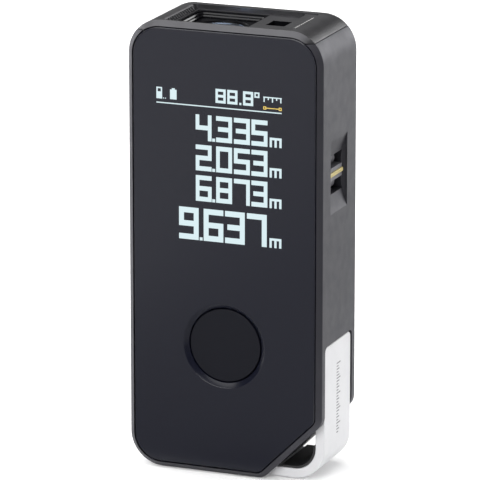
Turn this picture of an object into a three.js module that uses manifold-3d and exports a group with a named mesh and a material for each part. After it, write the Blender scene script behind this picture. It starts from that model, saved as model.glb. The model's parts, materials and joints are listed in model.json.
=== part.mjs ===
// A pocket laser distance meter, standing on its base, in millimetres.
// +Z runs up the body towards the laser window, -Y is the display side, +X is the side with the mode lever.
// The origin is the middle of the base, so the base plane z = 0 is also the plane it measures from.
import * as THREE from "three";
import { mergeVertices } from "three/addons/utils/BufferGeometryUtils.js";
import Module from "manifold-3d";

const wasm = await Module();
wasm.setup();

// ---------- Driving dimensions ----------

// Body
const WIDTH = 33;
const DEPTH = 16.2;
const HEIGHT = 73.6;
const CORNER_R = 5.5; // three corners of the body's front outline
const CHAMFER = 10; // leg of the 45 degree cut at the lower right corner
const CHAMFER_BLEND_R = 2.5;
const BEVEL_IN = 0.8; // edge bevel, measured across the front face
const BEVEL_DEEP = 0.75; // edge bevel, measured back from the front face
const WALL = 2.2;
const SEAM_Z = 71.85; // where the top cap meets the housing
const SEAM_GAP = 0.1;

const HALF_W = WIDTH / 2;
const FRONT = -DEPTH / 2;
const BACK = DEPTH / 2;

// Front panel and rear cover, both set into pockets of the housing
const POCKET_INSET = 0.85;
const PANEL_INSET = 1.05;
const PANEL_THICK = 1.2;
const POCKET_DEEP = 1.35;

// Measure button
const BUTTON_Z = 21.45;
const BUTTON_R = 6;
const BUTTON_HOLE_R = 6.17;
const DISH_R = 6.95;
const DISH_DEEP = 0.65;
const BUTTON_SUNK = 0.6;

// Top cap: a pocket holds the receiver window and the laser's aperture, and a shallow shelf lies to its right
const POCKET_FLOOR_Z = HEIGHT - 0.78;
const SHELF_Z = HEIGHT - 0.16;
const TOP_POCKET = { left: -10.8, leftFloor: -10, right: 8.6, front: -6.9, back: 5.9, corner: 0.8 };
const SHELF_RIGHT = 10.9;
const WINDOW = { x0: -9.7, x1: 2.45, y0: -6.3, y1: 5.3 };
const LENS = { x: -3.6, y: -0.4, r: 4.9, base: 70, edge: 71.1, apex: 72.15 };
const LENS_RING = { inner: 4.45, outer: 4.93, z0: 71.35, z1: 71.7 };
const BEZEL = { gap: 0.12, top: 72.74, floor: 71.7, wall: 0.35, corner: 1.2 };
const LASER = { x: 6.1, y: 0.4, half: 1.75 };
const CAP_SCREW = { x: 11.2, head: 68.5, shoulder: 69.42, tip: 72.2 };

// Mode lever, in a scoop on the right side
const LEVER = { x: 10.6, z: 49.6, y0: -3.9, y1: 2.88 };
const SCOOP = { y0: -4.05, y1: 3.35, chord: 12, deep: 1.05, endR: 0.9 };
const SLOT = { half: 3.15, y1: 2.95 };
const LEVER_CREST_X = HALF_W - 0.72;
const ACCENT_CREST_X = HALF_W - 0.5;
const LEVER_HALF = 1.05;
const ACCENT_HALF = 0.34;
const WING = { inner: 13.9, outer: 14.9, half: 2.65, dish: 0.4, y1: 2 };
const TAIL_R = 3.2; // from the lever's axis to the middle of its tail's tip
const PIN_R = 0.6;

// Wrist strap loop round the cut corner
const STRAP = { out: 0.15, thick: 1.55, halfWide: 5.8, top: 22.15, left: 1, bend: 5.2 };
const STRAP_GAP = 0.25;
const STRAP_SCREW = { z: 20.2, x: 3.6 };

// Charging socket in the base
const USB = { x: -5.5, y: -1.45, wide: 8.94, tall: 3.2, wall: 0.3, mouth: 0.9, back: 8.2 };

// Inside
const BOARD = { front: -3.9, back: -3.1, top: 44.4 };
const DISPLAY = { x0: -12.6, x1: 12.1, z0: 37, z1: 64.8 };
const CHASSIS = { front: -6.75, back: -5.75 };
const BOSSES = [
  [-12.2, 66.65],
  [12.2, 66.65],
  [-12.2, 7.2],
  [11.2, 16],
];
const BOSS_R = 1.7;
const FLANGE = { front: -5.65, back: 5.9, z0: 68.5, z1: 70.6 };
const BATTERY = { x0: -12.2, x1: 8.4, y0: -1.3, y1: 4.9, z0: 10.5, z1: 40 };

const FAR = 60; // longer than the part, for cutting tools

// ---------- Materials ----------

function material(color, roughness, metalness) {
  return new THREE.MeshStandardMaterial({ color, roughness, metalness });
}

const LOOK = {
  housing: material(0x5d5d61, 0.5, 0.3),
  panel: material(0x1d1d20, 0.35, 0),
  button: material(0x151517, 0.4, 0),
  strap: material(0xe6e6e8, 0.4, 0.1),
  black: material(0x121213, 0.6, 0),
  accent: material(0xc9ab4a, 0.45, 0),
  glass: material(0x2a3040, 0.05, 0),
  display: material(0x20242c, 0.15, 0),
  board: material(0x1f4a33, 0.6, 0),
  chip: material(0x191a1c, 0.5, 0),
  steel: material(0x9a9b9f, 0.35, 0.9),
  brass: material(0xb08d45, 0.35, 0.9),
  cast: material(0x33353a, 0.55, 0.4),
  cell: material(0xb9bcc2, 0.45, 0.5),
  foam: material(0x2c2c2e, 0.9, 0),
  redWire: material(0xa51d1d, 0.5, 0),
  flex: material(0xb0702a, 0.5, 0),
};

// ---------- Geometry helpers ----------

// A closed three.js geometry as a solid that can be joined and cut.
function solid(geometry) {
  const bare = geometry.index ? geometry.toNonIndexed() : geometry.clone();
  bare.deleteAttribute("normal");
  bare.deleteAttribute("uv");
  const merged = mergeVertices(bare, 1e-4);
  const mesh = new wasm.Mesh({
    numProp: 3,
    vertProperties: merged.attributes.position.array,
    triVerts: new Uint32Array(merged.index.array),
  });
  return new wasm.Manifold(mesh);
}

const joined = (...parts) => parts.reduce((all, part) => all.add(part));
const cut = (body, ...tools) => tools.reduce((left, tool) => left.subtract(tool), body);

function box(x0, x1, y0, y1, z0, z1) {
  const geometry = new THREE.BoxGeometry(x1 - x0, y1 - y0, z1 - z0);
  geometry.translate((x0 + x1) / 2, (y0 + y1) / 2, (z0 + z1) / 2);
  return solid(geometry);
}

// A cylinder or cone along an axis, from a0 to a1.
// The point (u, v) on its line gives the other two coordinates, in x, y, z order.
function rod(axis, a0, a1, u, v, r0, r1 = r0, sides = 32) {
  const geometry = new THREE.CylinderGeometry(r1, r0, a1 - a0, sides);
  geometry.translate(0, (a0 + a1) / 2, 0);
  if (axis === "x") {
    geometry.rotateZ(-Math.PI / 2);
    geometry.translate(0, u, v);
  } else if (axis === "y") {
    geometry.translate(u, 0, v);
  } else {
    geometry.rotateX(Math.PI / 2);
    geometry.translate(u, v, 0);
  }
  return solid(geometry);
}

// A solid of revolution about a vertical axis; its profile is a closed list of [radius, z].
function turned(profile, x, y, sides = 36) {
  const points = profile.map(([r, z]) => new THREE.Vector2(r, z));
  const geometry = new THREE.LatheGeometry(points, sides);
  geometry.rotateX(Math.PI / 2);
  geometry.translate(x, y, 0);
  return solid(geometry);
}

// A polygon of [u, v, radius] corners, counter-clockwise, each corner rounded.
function rounded(corners) {
  const shape = new THREE.Shape();
  corners.forEach(([u, v, r], i) => {
    const here = new THREE.Vector2(u, v);
    const before = new THREE.Vector2(...corners.at(i - 1).slice(0, 2)).sub(here).normalize();
    const after = new THREE.Vector2(...corners[(i + 1) % corners.length].slice(0, 2)).sub(here).normalize();
    if (r <= 0) {
      if (i) shape.lineTo(u, v);
      else shape.moveTo(u, v);
      return;
    }
    const half = Math.acos(before.dot(after)) / 2;
    const centre = before.clone().add(after).normalize().multiplyScalar(r / Math.sin(half)).add(here);
    const start = before.clone().multiplyScalar(r / Math.tan(half)).add(here).sub(centre);
    const end = after.clone().multiplyScalar(r / Math.tan(half)).add(here).sub(centre);
    const clockwise = before.cross(after) > 0;
    // An arc joins itself to an earlier line or arc, but not to a bare starting point.
    if (i && !shape.curves.length) shape.lineTo(centre.x + start.x, centre.y + start.y);
    shape.absarc(centre.x, centre.y, r, start.angle(), end.angle(), clockwise);
  });
  shape.closePath();
  return shape;
}

const roundedRect = (u0, u1, v0, v1, r) =>
  rounded([
    [u0, v0, r],
    [u1, v0, r],
    [u1, v1, r],
    [u0, v1, r],
  ]);

// The body's front outline, moved inwards by an inset.
function bodyOutline(inset) {
  const side = HALF_W - inset;
  const slant = inset * (Math.SQRT2 - 1);
  const corner = CORNER_R - inset;
  const blend = Math.max(CHAMFER_BLEND_R - inset, 0.4);
  return rounded([
    [-side, inset, corner],
    [HALF_W - CHAMFER - slant, inset, blend],
    [side, CHAMFER + slant, blend],
    [side, HEIGHT - inset, corner],
    [-side, HEIGHT - inset, corner],
  ]);
}

const PLANES = {
  x: [new THREE.Vector3(0, 1, 0), new THREE.Vector3(0, 0, 1), new THREE.Vector3(1, 0, 0)],
  y: [new THREE.Vector3(1, 0, 0), new THREE.Vector3(0, 0, 1), new THREE.Vector3(0, -1, 0)],
  z: [new THREE.Vector3(1, 0, 0), new THREE.Vector3(0, 1, 0), new THREE.Vector3(0, 0, 1)],
};

// A shape drawn in the plane across an axis, extruded along that axis from a0 to a1.
function plate(axis, shape, a0, a1, options = {}) {
  const geometry = new THREE.ExtrudeGeometry(shape, {
    depth: a1 - a0,
    curveSegments: 4,
    bevelEnabled: false,
    ...options,
  });
  geometry.applyMatrix4(new THREE.Matrix4().makeBasis(...PLANES[axis]));
  const shift = axis === "y" ? -a1 : a0;
  geometry.translate(...PLANES[axis][2].clone().multiplyScalar(shift).toArray());
  return solid(geometry);
}

// A round wire along a smooth curve through points.
function wire(points, radius) {
  const path = new THREE.CatmullRomCurve3(points.map((p) => new THREE.Vector3(...p)));
  const section = new THREE.Shape().absarc(0, 0, radius, 0, 2 * Math.PI);
  return solid(new THREE.ExtrudeGeometry(section, { steps: 12, curveSegments: 4, extrudePath: path }));
}

const group = new THREE.Group();

function addPart(name, body, look) {
  const made = body.getMesh();
  const geometry = new THREE.BufferGeometry();
  geometry.setAttribute("position", new THREE.BufferAttribute(new Float32Array(made.vertProperties), 3));
  geometry.setIndex(new THREE.BufferAttribute(made.triVerts, 1));
  geometry.computeVertexNormals();
  const mesh = new THREE.Mesh(geometry, look);
  mesh.name = name;
  group.add(mesh);
}

// ---------- Shared cutting tools ----------

const wholeBody = plate("y", bodyOutline(BEVEL_IN), FRONT + BEVEL_DEEP, BACK - BEVEL_DEEP, {
  bevelEnabled: true,
  bevelThickness: BEVEL_DEEP,
  bevelSize: BEVEL_IN,
  bevelSegments: 1,
});
const frontPocket = plate("y", bodyOutline(POCKET_INSET), FRONT - 1, FRONT + POCKET_DEEP);
const rearPocket = plate("y", bodyOutline(POCKET_INSET), BACK - POCKET_DEEP, BACK + 1);

// ---------- Housing, panel, rear cover ----------

function strapRecess() {
  const wide = STRAP.halfWide + STRAP_GAP;
  const inner = STRAP.out + STRAP.thick + 0.1;
  return joined(
    plate("x", roundedRect(-wide, wide, -FAR, STRAP.top + STRAP_GAP, 1), HALF_W - inner, HALF_W + 1),
    plate("z", roundedRect(STRAP.left - STRAP_GAP, FAR, -wide, wide, 1), -1, inner),
  );
}

// A cylinder that cuts a dish of a given chord and depth into a face at x, at the lever's height.
function dishTool(x, chord, deep, y0, y1) {
  const r = chord ** 2 / (8 * deep) + deep / 2;
  return rod("y", y0, y1, x + r - deep, LEVER.z, r, r, 96);
}

function leverScoop() {
  const floorX = HALF_W - SCOOP.deep - 0.05;
  const plan = rounded([
    [floorX, SCOOP.y0, 0],
    [HALF_W + 2, SCOOP.y0, 0],
    [HALF_W + 2, SCOOP.y1, 0],
    [floorX, SCOOP.y1, SCOOP.endR],
  ]);
  const dish = dishTool(HALF_W, SCOOP.chord, SCOOP.deep, SCOOP.y0 - 1, SCOOP.y1 + 1);
  const slot = [LEVER.z - SLOT.half, LEVER.z + SLOT.half];
  return joined(
    dish.intersect(plate("z", plan, LEVER.z - SCOOP.chord, LEVER.z + SCOOP.chord)),
    box(HALF_W - WALL - 2, HALF_W + 1, SCOOP.y0, SLOT.y1, ...slot),
  );
}

function usbMouth() {
  const reach = 0.13;
  const halfWide = USB.wide / 2 + reach;
  const halfTall = USB.tall / 2 + reach;
  const outline = roundedRect(USB.x - halfWide, USB.x + halfWide, USB.y - halfTall, USB.y + halfTall, 1.6);
  return plate("z", outline, -1, WALL + 1);
}

// The two blocks inside the housing that the strap is screwed to, grown by a clearance.
function strapPads(clear) {
  const wide = STRAP.halfWide + 0.6 + clear;
  return joined(
    box(13.4 - clear, HALF_W - 1, -wide, wide, 10.8 - clear, STRAP.top + 1.4 + clear),
    box(STRAP.left - 1.2 - clear, 7.6 + clear, -wide, wide, 1, 3.4 + clear),
  );
}

function mainHousing() {
  const sleeve = cut(
    wholeBody.intersect(box(-FAR, FAR, -FAR, FAR, -1, SEAM_Z - SEAM_GAP / 2)),
    frontPocket,
    rearPocket,
    plate("y", bodyOutline(WALL), -FAR, FAR),
    box(-13.3, 13.3, -FAR, FAR, 60, FAR + 30),
  );
  return cut(
    sleeve.add(strapPads(0).intersect(wholeBody)),
    leverScoop(),
    strapRecess(),
    usbMouth(),
    rod("x", 10, HALF_W, 0, STRAP_SCREW.z, 0.85, 0.85, 16),
    rod("z", 0, 5, STRAP_SCREW.x, 0, 0.85, 0.85, 16),
  );
}
addPart("main_housing", mainHousing(), LOOK.housing);

const frontPanel = cut(
  plate("y", bodyOutline(PANEL_INSET), FRONT, FRONT + PANEL_THICK),
  rod("y", FRONT - 1, FRONT + PANEL_THICK + 1, 0, BUTTON_Z, BUTTON_HOLE_R, BUTTON_HOLE_R, 48),
  rod("y", FRONT, FRONT + DISH_DEEP, 0, BUTTON_Z, DISH_R, BUTTON_HOLE_R, 48),
);
addPart("front_panel", frontPanel, LOOK.panel);

const gasketFront = FRONT + PANEL_THICK + 0.02;
const gasketRing = cut(
  plate("y", bodyOutline(1.25), gasketFront, FRONT + POCKET_DEEP - 0.02),
  plate("y", bodyOutline(2.1), -FAR, FAR),
);
addPart("panel_gasket", gasketRing, LOOK.foam);

function rearCover() {
  const boreEnd = -2.3;
  const bossFront = CHASSIS.back + 0.1;
  const sheet = plate("y", bodyOutline(PANEL_INSET), BACK - PANEL_THICK, BACK);
  const bosses = BOSSES.map(([x, z]) => rod("y", bossFront, BACK - 1, x, z, BOSS_R, BOSS_R, 20));
  const bores = BOSSES.map(([x, z]) => rod("y", bossFront - 1, boreEnd, x, z, 0.76, 0.76, 16));
  return cut(joined(sheet, ...bosses), ...bores);
}
addPart("rear_cover", rearCover(), LOOK.housing);

// ---------- Top cap ----------

// A square block on the laser's axis.
function laserBlock(half, z0, z1) {
  return box(LASER.x - half, LASER.x + half, LASER.y - half, LASER.y + half, z0, z1);
}

function topCap() {
  const slab = cut(
    wholeBody.intersect(box(-FAR, FAR, -FAR, FAR, SEAM_Z + SEAM_GAP / 2, FAR + 30)),
    frontPocket,
    rearPocket,
  );
  const plug = box(-12.9, 12.9, -6.6, 6.4, 70.9, SEAM_Z + 0.2);
  const { left, leftFloor, right, front, back, corner } = TOP_POCKET;
  const profile = new THREE.Shape([
    new THREE.Vector2(leftFloor, POCKET_FLOOR_Z),
    new THREE.Vector2(right, POCKET_FLOOR_Z),
    new THREE.Vector2(right, HEIGHT + 1),
    new THREE.Vector2(left, HEIGHT + 1),
    new THREE.Vector2(left, HEIGHT),
  ]);
  const pocket = plate("y", profile, front, back).intersect(
    plate("z", roundedRect(left, right, front, back, corner), POCKET_FLOOR_Z, HEIGHT + 1),
  );
  const screwBores = [-1, 1].map((side) => rod("z", 70, 72.4, side * CAP_SCREW.x, 0, 0.76, 0.76, 16));
  return cut(
    slab.add(plug),
    pocket,
    plate("z", roundedRect(right - 2, SHELF_RIGHT, front, back, corner), SHELF_Z, HEIGHT + 1),
    box(WINDOW.x0, WINDOW.x1, WINDOW.y0, WINDOW.y1, 60, 80),
    laserBlock(LASER.half, 60, 80),
    laserBlock(2.3, 60, 71.6),
    ...screwBores,
  );
}
addPart("top_cap", topCap(), LOOK.housing);
addPart("emitter_window", laserBlock(2.2, 71.05, 71.55), LOOK.glass);

// ---------- Optics ----------

// Points of a spherical dome over radius r, from its rim at z0 to its apex at z1, rim first.
function dome(r, z0, z1, steps = 6) {
  const rise = z1 - z0;
  const sphere = (r * r + rise * rise) / (2 * rise);
  const angle = Math.asin(r / sphere);
  return Array.from({ length: steps + 1 }, (_, i) => {
    const a = angle * (1 - i / steps);
    return [i === steps ? 0 : sphere * Math.sin(a), z1 - sphere * (1 - Math.cos(a))];
  });
}

function opticsBracket() {
  const { gap, wall } = BEZEL;
  const frame = [WINDOW.x0 + gap, WINDOW.x1 - gap];
  const [front, back] = [WINDOW.y0 + gap, WINDOW.y1 - gap];
  const body = joined(
    box(-9.4, 2.3, -4.6, 5.8, 50, FLANGE.z0 + 0.1),
    box(-9.4, 2.3, FLANGE.front, 5.8, 65.2, FLANGE.z0 + 0.1),
    box(-13.1, 13.1, FLANGE.front, FLANGE.back, FLANGE.z0, FLANGE.z1),
    box(2.2, 9.4, -3.4, 3.4, 58, FLANGE.z0 + 0.1),
    rod("z", 46.2, 50.1, LENS.x, LENS.y, 3.6),
    box(...frame, FLANGE.front, back, FLANGE.z1 - 0.3, BEZEL.top),
    box(...frame, front, back, FLANGE.z1 + 0.05, BEZEL.top),
  );
  const opening = roundedRect(frame[0] + wall, frame[1] - wall, front + wall, back - wall, BEZEL.corner);
  const capScrewHole = (z1, r) => [-1, 1].map((side) => rod("z", 68, z1, side * CAP_SCREW.x, 0, r, r, 16));
  return cut(
    body,
    plate("z", opening, BEZEL.floor, 80),
    rod("z", LENS.base - 0.1, BEZEL.floor + 0.1, LENS.x, LENS.y, LENS.r + 0.06),
    rod("z", 50.1, LENS.base, LENS.x, LENS.y, 1.9, LENS.r - 0.4),
    rod("z", 46, 50.2, LENS.x, LENS.y, 2.5),
    rod("z", 57, 72, LASER.x, LASER.y, 2.56, 2.56, 24),
    ...capScrewHole(71, 0.85),
    ...capScrewHole(CAP_SCREW.shoulder + 0.03, 1.45),
  );
}
addPart("optics_bracket", opticsBracket(), LOOK.cast);

const lensProfile = [[0, LENS.base], [LENS.r, LENS.base], ...dome(LENS.r, LENS.edge, LENS.apex)];
addPart("receiver_lens", turned(lensProfile, LENS.x, LENS.y), LOOK.glass);
const lensRing = cut(
  rod("z", LENS_RING.z0, LENS_RING.z1, LENS.x, LENS.y, LENS_RING.outer),
  rod("z", LENS_RING.z0 - 1, LENS_RING.z1 + 1, LENS.x, LENS.y, LENS_RING.inner),
);
addPart("lens_retainer", lensRing, LOOK.black);
addPart("receiver_filter", rod("z", 49.2, 50, LENS.x, LENS.y, 2.4), LOOK.glass);

const sensorCan = joined(
  rod("z", 45.9, 46.5, LENS.x, LENS.y, 2.42, 2.42, 24),
  rod("z", 46.4, 48.8, LENS.x, LENS.y, 2.1, 2.1, 24),
);
addPart("receiver_sensor", sensorCan, LOOK.steel);
addPart("receiver_board", box(-10, 2.6, -4.3, 5.8, 45, 45.8), LOOK.board);
const shieldCan = cut(box(-8.6, 1.4, -2.4, 5, 43.2, 44.92), box(-8.3, 1.1, -2.1, 4.7, 43.5, 46));
addPart("receiver_shield", shieldCan, LOOK.steel);

const laserTube = cut(
  rod("z", 58, 70.2, LASER.x, LASER.y, 2.5, 2.5, 24),
  rod("z", 57, 72, LASER.x, LASER.y, 1.5, 1.5, 24),
  rod("z", 68.5, 72, LASER.x, LASER.y, 1.85, 1.85, 24),
);
addPart("laser_barrel", laserTube, LOOK.brass);
const collimator = [[0, 68.6], [1.75, 68.6], ...dome(1.75, 69.1, 69.8, 4)];
addPart("collimator_lens", turned(collimator, LASER.x, LASER.y, 24), LOOK.glass);
const diode = joined(
  rod("z", 56.7, 57.9, LASER.x, LASER.y, 2.4, 2.4, 24),
  rod("z", 57.8, 60.3, LASER.x, LASER.y, 1.4, 1.4, 24),
  ...[-1, 0, 1].map((i) => rod("z", 54.6, 56.8, LASER.x + i, LASER.y + 0.4 * i * i, 0.22, 0.22, 8)),
);
addPart("laser_diode", diode, LOOK.steel);

// ---------- Display, chassis and boards ----------

function chassisPlate() {
  const { front, back } = CHASSIS;
  const sheet = plate("y", bodyOutline(2.5), front, back).intersect(box(-FAR, FAR, -FAR, FAR, 0, 70.5));
  const rails = joined(box(-13.9, -13.2, back - 0.1, -4, 12, 36), box(12.2, 12.9, back - 0.1, -4, 24.5, 36));
  const clear = 0.15;
  return cut(
    sheet.add(rails),
    strapPads(0.1),
    box(DISPLAY.x0 - clear, DISPLAY.x1 + clear, -FAR, FAR, DISPLAY.z0 - clear, DISPLAY.z1 + clear),
    rod("y", -FAR, FAR, 0, BUTTON_Z, 7.2, 7.2, 40),
    ...BOSSES.map(([x, z]) => rod("y", -FAR, front + 0.6, x, z, 1.4, 1.4, 16)),
    ...BOSSES.map(([x, z]) => rod("y", -FAR, FAR, x, z, 0.85, 0.85, 16)),
  );
}
addPart("chassis", chassisPlate(), LOOK.black);

addPart("display_glass", box(DISPLAY.x0, DISPLAY.x1, -6.9, -5.6, DISPLAY.z0, DISPLAY.z1), LOOK.display);
const tray = cut(
  box(DISPLAY.x0, DISPLAY.x1, -5.55, -4.78, DISPLAY.z0, DISPLAY.z1),
  box(DISPLAY.x0 + 0.3, DISPLAY.x1 - 0.3, -6, -5.1, DISPLAY.z0 + 0.3, DISPLAY.z1 - 0.3),
);
addPart("display_backlight", tray, LOOK.steel);

const ribbon = new THREE.Shape(
  [
    [-5.2, 36.9],
    [-5.2, 35],
    [-4.75, 34.3],
    [-4.75, 33.4],
    [-4.6, 33.4],
    [-4.6, 34.35],
    [-5.05, 35.05],
    [-5.05, 36.9],
  ].map(([y, z]) => new THREE.Vector2(y, z)),
);
addPart("display_flex", plate("x", ribbon, -4, 4), LOOK.flex);
addPart("display_connector", box(-4.6, 4.6, -4.95, BOARD.front - 0.03, 31.4, 33.35), LOOK.chip);

function mainBoard() {
  const outline = plate("y", bodyOutline(2.9), BOARD.front, BOARD.back);
  return cut(
    outline.intersect(box(-FAR, 13, -FAR, FAR, 4.6, BOARD.top)),
    ...BOSSES.map(([x, z]) => rod("y", -FAR, FAR, x, z, BOSS_R + 0.25, BOSS_R + 0.25, 20)),
  );
}
addPart("main_board", mainBoard(), LOOK.board);

// Parts on the board's back face: name, middle x, middle z, width, height, thickness.
const CHIPS = [
  ["processor", -3, 30, 7, 7, 0.9],
  ["power_chip", 5, 16, 4, 4, 0.8],
  ["wireless_chip", -9.5, 36.5, 5, 5, 0.8],
  ["crystal", 3.6, 31, 3.2, 2.5, 0.7],
  ["inductor", 6.6, 23.5, 4, 4, 1.3],
  ["battery_connector", 7.6, 42.2, 5, 3.4, 1.5],
];
for (const [name, x, z, wide, tall, thick] of CHIPS) {
  const back = BOARD.back + 0.03;
  const look = name === "battery_connector" ? LOOK.strap : LOOK.chip;
  addPart(name, box(x - wide / 2, x + wide / 2, back, back + thick, z - tall / 2, z + tall / 2), look);
}

const buzzerX = -9;
const buzzerZ = 30.5;
const buzzer = cut(
  rod("y", -5.6, BOARD.front - 0.03, buzzerX, buzzerZ, 3.6, 3.6, 24),
  rod("y", -6, -5, buzzerX, buzzerZ, 0.7, 0.7, 12),
);
addPart("buzzer", buzzer, LOOK.chip);

// ---------- Battery and charging ----------

const cellOutline = roundedRect(BATTERY.x0, BATTERY.x1, BATTERY.z0, BATTERY.z1, 1.2);
addPart("battery_cell", plate("y", cellOutline, BATTERY.y0, BATTERY.y1), LOOK.cell);
addPart("battery_foam", box(-9, 6, BATTERY.y1 + 0.05, 6.9, 14, 36), LOOK.foam);
addPart("battery_board", box(-8, 4, 0.4, 1.4, BATTERY.z1 + 0.1, 42.4), LOOK.board);
// Each lead: its name, its place on the cell's board, its height at the connector and its colour.
const LEADS = [
  ["battery_lead_red", 2.4, 42.8, LOOK.redWire],
  ["battery_lead_black", 0.6, 41.5, LOOK.black],
];
for (const [name, x, z, look] of LEADS) {
  const route = [
    [x, 0.3, 41.2],
    [x, -0.6, 41.2],
    [x / 2 + 2.5, -1.8, z - 0.2],
    [4.85, -2.3, z],
  ];
  addPart(name, wire(route, 0.33), look);
}

function usbShell() {
  const outline = (shrink) => {
    const halfWide = USB.wide / 2 - shrink;
    const halfTall = USB.tall / 2 - shrink;
    const corner = 1.5 - shrink;
    return roundedRect(USB.x - halfWide, USB.x + halfWide, USB.y - halfTall, USB.y + halfTall, corner);
  };
  return cut(
    plate("z", outline(0), USB.mouth, USB.back),
    plate("z", outline(USB.wall), -1, USB.back - 0.5),
  );
}
addPart("usb_shell", usbShell(), LOOK.steel);
const tongueBase = roundedRect(USB.x - 4.05, USB.x + 4.05, USB.y - 1.2, USB.y + 1.2, 1.1);
const usbTongue = joined(
  box(USB.x - 3.35, USB.x + 3.35, USB.y - 0.35, USB.y + 0.35, 1.9, USB.back - 0.6),
  plate("z", tongueBase, 6.4, USB.back - 0.6),
);
addPart("usb_tongue", usbTongue, LOOK.black);

// ---------- Measure button ----------

const buttonFace = FRONT + BUTTON_SUNK;
const measureButton = joined(
  rod("y", buttonFace, buttonFace + 0.15, 0, BUTTON_Z, BUTTON_R - 0.15, BUTTON_R, 48),
  rod("y", buttonFace + 0.15, -6.7, 0, BUTTON_Z, BUTTON_R, BUTTON_R, 48),
  rod("y", -6.85, -6.35, 0, BUTTON_Z, 6.85, 6.85, 48),
  rod("y", -6.4, -5.66, 0, BUTTON_Z, 1.6, 1.6, 20),
);
addPart("measure_button", measureButton, LOOK.button);
const switchBody = cut(
  box(-2.6, 2.6, -5.15, BOARD.front - 0.03, BUTTON_Z - 2.6, BUTTON_Z + 2.6),
  rod("y", -6, -4.3, 0, BUTTON_Z, 1.25, 1.25, 20),
);
addPart("button_switch", switchBody, LOOK.chip);
addPart("button_switch_plunger", rod("y", -5.62, -4.9, 0, BUTTON_Z, 1.1, 1.1, 20), LOOK.strap);

// ---------- Mode lever ----------

const leverAxis = (y0, y1, r, sides) => rod("y", y0, y1, LEVER.x, LEVER.z, r, r, sides);
const aroundLever = (x0, x1, y0, y1, half) => box(x0, x1, y0, y1, LEVER.z - half, LEVER.z + half);

function sideLever() {
  const { x, y0, y1 } = LEVER;
  const reach = 1.4;
  const wings = cut(
    aroundLever(WING.inner, WING.outer, y0, WING.y1, WING.half),
    dishTool(WING.outer, 2 * WING.half, WING.dish, y0 - 1, y1),
  );
  const tip = rod("y", -reach, 0.9, x - TAIL_R, LEVER.z, 0.45, 0.45, 16);
  return cut(
    joined(
      leverAxis(y0, y1, 1.5, 24),
      aroundLever(x, LEVER_CREST_X, y0, y1, LEVER_HALF),
      wings,
      aroundLever(x - TAIL_R, x, -reach, 0.9, 0.25),
      tip,
    ),
    leverAxis(y0 - 1, y1 + 1, PIN_R + 0.06, 20),
    aroundLever(LEVER_CREST_X - 0.55, HALF_W + 1, y0 - 1, y1 + 1, ACCENT_HALF + 0.03),
  );
}
addPart("side_lever", sideLever(), LOOK.housing);
const accent = aroundLever(LEVER_CREST_X - 0.5, ACCENT_CREST_X, LEVER.y0, LEVER.y1, ACCENT_HALF);
addPart("lever_accent", accent, LOOK.accent);
addPart("lever_pin", leverAxis(-4.6, 3.6, PIN_R, 20), LOOK.steel);

const leverBracket = cut(
  joined(
    aroundLever(8.35, 12.3, -4.6, -4, 2),
    aroundLever(8.35, 12.3, 3, 3.6, 2),
    aroundLever(8.35, 8.85, -4.6, 3.6, 3.55),
  ),
  aroundLever(8, 9, -1.9, 1.4, 1.8),
  leverAxis(-5, 5, PIN_R + 0.03, 20),
);
addPart("lever_bracket", leverBracket, LOOK.black);
const leverSwitch = cut(aroundLever(3.4, 8.2, -2.6, 2.1, 3.55), aroundLever(4.4, 9, -2, 1.5, 2.55));
addPart("lever_switch", leverSwitch, LOOK.chip);
const slider = cut(aroundLever(5, 8, -1.85, 1.35, 1.4), aroundLever(6.8, 9, -3, 3, 0.55));
addPart("lever_switch_slider", slider, LOOK.strap);
addPart("lever_board", box(2.75, 3.35, -4.4, 4, 45.4, 53.8), LOOK.board);

// ---------- Wrist strap loop ----------

// The strap's bent strip, shrunk by an inset from its outer face and given a thickness.
function bentStrip(inset, thick, top, left, halfWide) {
  const outerX = HALF_W - inset;
  const innerX = outerX - thick;
  const bendR = STRAP.bend - (inset - STRAP.out);
  const shape = rounded([
    [left, inset, 0],
    [outerX, inset, bendR],
    [outerX, top, 0],
    [innerX, top, 0],
    [innerX, inset + thick, bendR - thick],
    [left, inset + thick, 0],
  ]);
  return plate("y", shape, -halfWide, halfWide, { curveSegments: 5 });
}

const strapCorner = 0.8;
const sideOutline = roundedRect(-STRAP.halfWide, STRAP.halfWide, -FAR, STRAP.top, strapCorner);
const baseOutline = roundedRect(STRAP.left, FAR, -STRAP.halfWide, STRAP.halfWide, strapCorner);
const strapBody = cut(
  bentStrip(STRAP.out, STRAP.thick, STRAP.top, STRAP.left, STRAP.halfWide)
    .intersect(plate("x", sideOutline, -FAR, FAR))
    .intersect(plate("z", baseOutline, -FAR, FAR)),
  rod("x", 10, HALF_W - 0.6, 0, STRAP_SCREW.z, 0.78, 0.78, 16),
  rod("z", 0.6, 5, STRAP_SCREW.x, 0, 0.78, 0.78, 16),
);
addPart("wrist_strap_loop", strapBody, LOOK.strap);
const linerInset = STRAP.out + STRAP.thick + 0.05;
addPart("loop_liner", bentStrip(linerInset, 0.35, 5.8, 9, 5.7), LOOK.black);

// ---------- Screws ----------

// A cap screw along an axis: its head runs from a0 to a1 and its shank to a2, on the line (u, v).
// A hexagonal recess goes half way through the head.
function screw(axis, a0, a1, a2, u, v) {
  const between = (from, to, r, sides) => {
    const [low, high] = [Math.min(from, to), Math.max(from, to)];
    return rod(axis, low, high, u, v, r, r, sides);
  };
  const outside = a0 - Math.sign(a1 - a0);
  return cut(
    joined(between(a0, a1, 1.3, 16), between(a0, a2, 0.72, 12)),
    between(outside, (a0 + a1) / 2, 0.5, 6),
  );
}

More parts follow.
